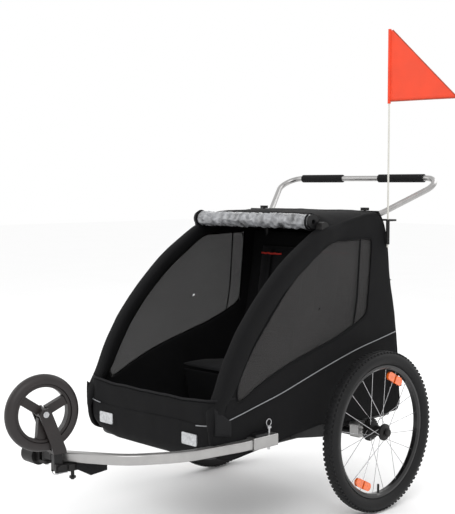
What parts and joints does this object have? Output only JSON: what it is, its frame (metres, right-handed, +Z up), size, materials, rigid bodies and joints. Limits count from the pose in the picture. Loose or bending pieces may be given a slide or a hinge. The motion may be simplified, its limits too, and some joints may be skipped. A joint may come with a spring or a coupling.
{
  "type": "child bicycle trailer",
  "caption": "Two-seat child trailer for a bicycle: fabric cabin on a folding tube frame, two spoked wheels, side hitch arm, push handle, fold-up front wheel and safety flag",
  "frame": {"origin": "under the middle of the whole trailer, on the ground", "axes": "+Z up, front (hitch) faces -Y, the hitch arm and the flag are on the +X side, which is the trailer's left"},
  "size_m": [0.9434, 1.5034, 1.505],
  "materials": {
    "bare_aluminium": "brushed, lightly satin",
    "black_tube": "black powder coat",
    "black_steel": "black coated steel, satin",
    "steel": "bright zinc plated",
    "black_fabric": "coated polyester plain weave, matt",
    "seat_fabric": "padded polyester, matt",
    "mesh": "tinted film behind fine mesh",
    "clear_film": "clear vinyl, rolled and crumpled",
    "webbing": "woven polypropylene webbing",
    "black_plastic": "moulded nylon, fine texture",
    "rubber": "foam rubber grip",
    "tyre": "black tyre with block tread",
    "small_tyre": "moulded polyurethane tyre, satin",
    "rim": "black anodised rim",
    "spoke": "bright stainless wire",
    "white_reflector": "clear prismatic reflector",
    "orange_reflector": "orange prismatic reflector",
    "flag_fabric": "fluorescent orange-red nylon",
    "fibreglass": "white fibreglass rod"
  },
  "bodies": {
    "base": {"base_rails": "black_tube", "cross_tubes": "black_tube", "axle_sockets": "bare_aluminium", "floor_pan": "black_fabric", "frame_brackets": "black_steel", "left_side_panel": "black_fabric", "right_side_panel": "black_fabric", "window_meshes": "mesh", "front_panel": "black_fabric", "front_reflectors": "white_reflector", "back_panel": "black_fabric", "roof_panel": "black_fabric", "seat_bench": "seat_fabric", "seat_backs": "seat_fabric", "harness": "webbing", "wheel_axles": "steel", "arm_receiver": "bare_aluminium", "arm_bracket": "black_steel", "hitch_arm": "bare_aluminium", "arm_saddle": "black_plastic", "arm_end_fitting": "black_steel", "coupler_pin": "steel", "safety_strap": "webbing", "hanging_pin": "black_steel"},
    "rear_frame": {"rear_uprights": "black_tube", "handlebar_receivers": "black_steel", "handlebar": "bare_aluminium", "handlebar_grips": "rubber", "pole_sleeve": "black_plastic"},
    "latch_release": {"latch_knobs": "black_plastic"},
    "left_button": {"left_push_button": "steel"},
    "right_button": {"right_push_button": "steel"},
    "roof_frame": {"roof_rails": "black_steel", "rolled_cover": "clear_film", "front_bar": "black_tube"},
    "hoops": {"side_hoops": "black_tube", "hoop_sleeves": "black_fabric", "top_hinges": "black_plastic"},
    "flag_unit": {"flag_pole": "fibreglass", "flag": "flag_fabric"},
    "brake": {"brake_pedal": "black_steel"},
    "arm_pin": {"lock_pin": "steel"},
    "flip_head": {"flip_knuckle": "black_plastic"},
    "caster_fork": {"wheel_fork": "black_plastic", "fork_axle": "steel"},
    "stroller_wheel": {"small_tyre": "small_tyre", "small_rim": "black_plastic"},
    "coupler": {"hitch_coupler": "black_plastic"},
    "left_wheel": {"left_tyre": "tyre", "left_rim": "rim", "left_spokes": "spoke", "left_hub": "black_plastic", "left_wheel_reflectors": "orange_reflector"},
    "left_release": {"left_hub_cap": "black_plastic"},
    "right_wheel": {"right_tyre": "tyre", "right_rim": "rim", "right_spokes": "spoke", "right_hub": "black_plastic", "right_wheel_reflectors": "orange_reflector"},
    "right_release": {"right_hub_cap": "black_plastic"}
  },
  "joints": [
    {"name": "frame_fold", "type": "hinge", "parent": "base", "child": "rear_frame", "pos_m": [-0.07075, 0.54974, 0.345], "axis": [1, 0, 0], "range_deg": [0, 78], "deforming": ["left_side_panel", "right_side_panel", "window_meshes", "front_panel", "back_panel", "roof_panel", "seat_bench", "seat_backs", "harness"]},
    {"name": "roof_fold", "type": "hinge", "parent": "rear_frame", "child": "roof_frame", "pos_m": [-0.07075, 0.40174, 0.893], "axis": [1, 0, 0], "range_deg": [-78, 0]},
    {"name": "hoop_fold", "type": "hinge", "parent": "base", "child": "hoops", "pos_m": [-0.07075, -0.19526, 0.318], "axis": [1, 0, 0], "range_deg": [-52, 0]},
    {"name": "latch_pull", "type": "slide", "parent": "rear_frame", "child": "latch_release", "axis": [0, 0, 1], "range_m": [0, 0.008], "stiffness_N_per_m": 400},
    {"name": "left_button_press", "type": "slide", "parent": "rear_frame", "child": "left_button", "axis": [-1, 0, 0], "range_m": [0, 0.003], "stiffness_N_per_m": 800},
    {"name": "right_button_press", "type": "slide", "parent": "rear_frame", "child": "right_button", "axis": [1, 0, 0], "range_m": [0, 0.003], "stiffness_N_per_m": 800},
    {"name": "flag_lift", "type": "slide", "parent": "rear_frame", "child": "flag_unit", "axis": [0, 0, 1], "range_m": [0, 0.08]},
    {"name": "left_wheel_spin", "type": "hinge", "parent": "base", "child": "left_wheel", "pos_m": [0.29025, 0.37974, 0.25], "axis": [1, 0, 0], "continuous": true},
    {"name": "right_wheel_spin", "type": "hinge", "parent": "base", "child": "right_wheel", "pos_m": [-0.43175, 0.37974, 0.25], "axis": [1, 0, 0], "continuous": true},
    {"name": "left_wheel_release", "type": "slide", "parent": "left_wheel", "child": "left_release", "axis": [-1, 0, 0], "range_m": [0, 0.003], "stiffness_N_per_m": 600},
    {"name": "right_wheel_release", "type": "slide", "parent": "right_wheel", "child": "right_release", "axis": [1, 0, 0], "range_m": [0, 0.003], "stiffness_N_per_m": 600},
    {"name": "brake_press", "type": "hinge", "parent": "base", "child": "brake", "pos_m": [-0.07075, 0.44974, 0.243], "axis": [-1, 0, 0], "range_deg": [0, 20]},
    {"name": "arm_pin_pull", "type": "slide", "parent": "base", "child": "arm_pin", "axis": [0, 0, 1], "range_m": [0, 0.05]},
    {"name": "stroller_wheel_flip", "type": "hinge", "parent": "base", "child": "flip_head", "pos_m": [-0.01275, -0.61026, 0.268], "axis": [0.9781, -0.2079, 0], "range_deg": [0, 180]},
    {"name": "caster_swivel", "type": "hinge", "parent": "flip_head", "child": "caster_fork", "pos_m": [-0.01337, -0.61319, 0.309], "axis": [0, 0, 1], "continuous": true},
    {"name": "stroller_wheel_spin", "type": "hinge", "parent": "caster_fork", "child": "stroller_wheel", "pos_m": [-0.02152, -0.65154, 0.419], "axis": [0.9781, -0.2079, 0], "continuous": true},
    {"name": "coupler_swing", "type": "hinge", "parent": "base", "child": "coupler", "pos_m": [-0.08675, -0.59326, 0.29], "axis": [0, 0, 1], "range_deg": [-40, 40]}
  ],
  "couplings": [
    {"joint": "roof_fold", "follows": "frame_fold", "ratio": -1},
    {"joint": "hoop_fold", "follows": "frame_fold", "ratio": -0.66667}
  ]
}
